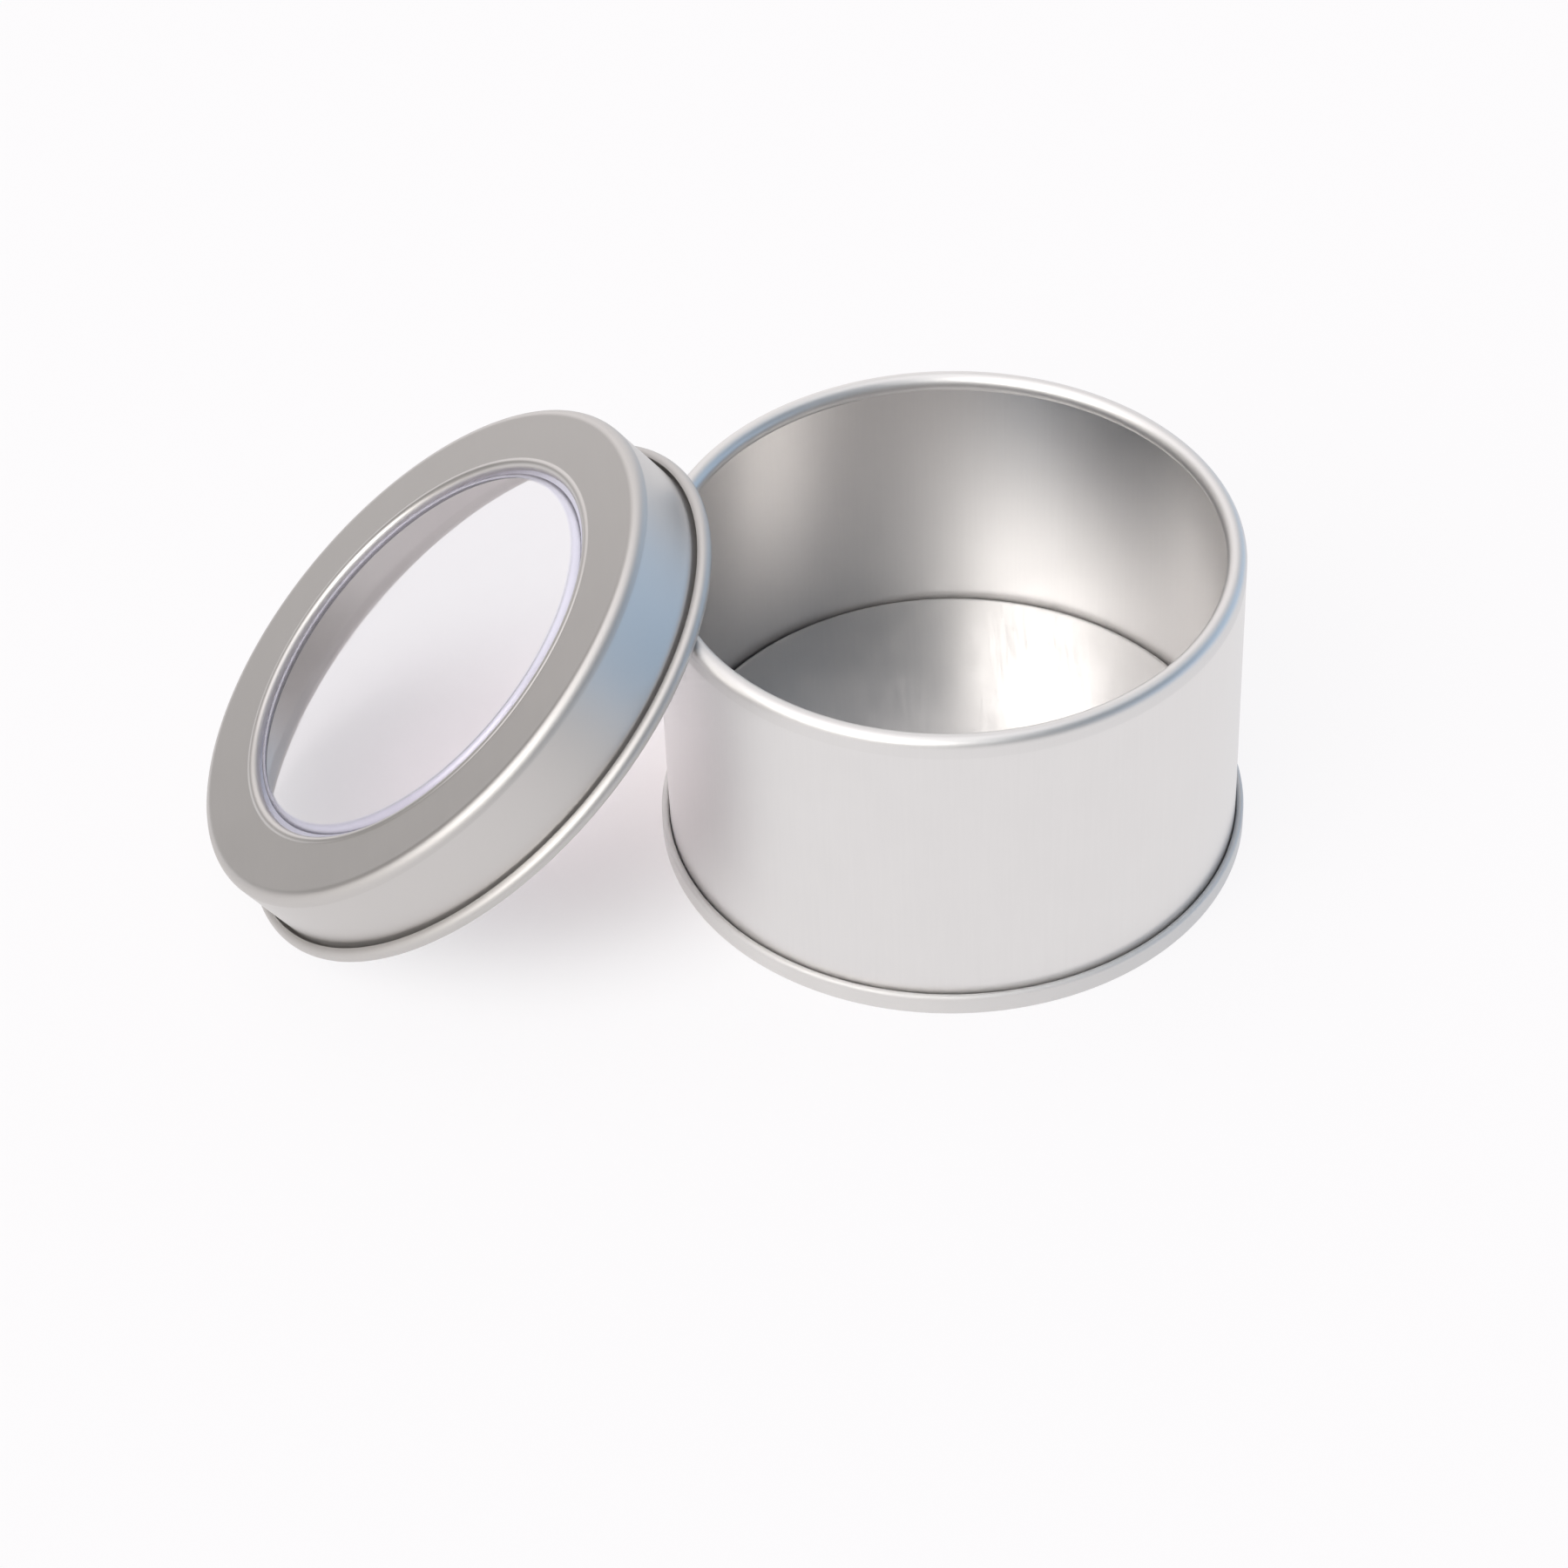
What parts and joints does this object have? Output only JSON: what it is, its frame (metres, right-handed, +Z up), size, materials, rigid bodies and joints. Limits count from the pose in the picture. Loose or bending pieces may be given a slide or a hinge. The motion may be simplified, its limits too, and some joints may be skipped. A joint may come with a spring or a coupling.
{
  "type": "window lid tin",
  "caption": "Round tinplate tin with a seamed foot, a curled rim and a slip-on lid with a clear window, open, its lid leaning on the rim.",
  "frame": {"origin": "on the tin's axis, in the plane of its foot", "axes": "+Z up along the tin's axis, -X towards the lid that leans on the tin"},
  "size_m": [0.1347, 0.0787, 0.0558],
  "materials": {
    "tinplate_body": "satin tinplate, rolled",
    "tinplate_base": "satin tinplate, pressed",
    "tinplate_lid": "satin tinplate, pressed",
    "clear_window": "clear thermoformed sheet"
  },
  "bodies": {
    "tin": {"tin_wall": "tinplate_body", "base_plate": "tinplate_base"},
    "lid": {"lid_ring": "tinplate_lid", "lid_window": "clear_window"}
  },
  "joints": [
    {"name": "lid_lift", "type": "slide", "parent": "tin", "child": "lid", "axis": [0, 0, 1], "range_m": [0, 0.06]}
  ]
}
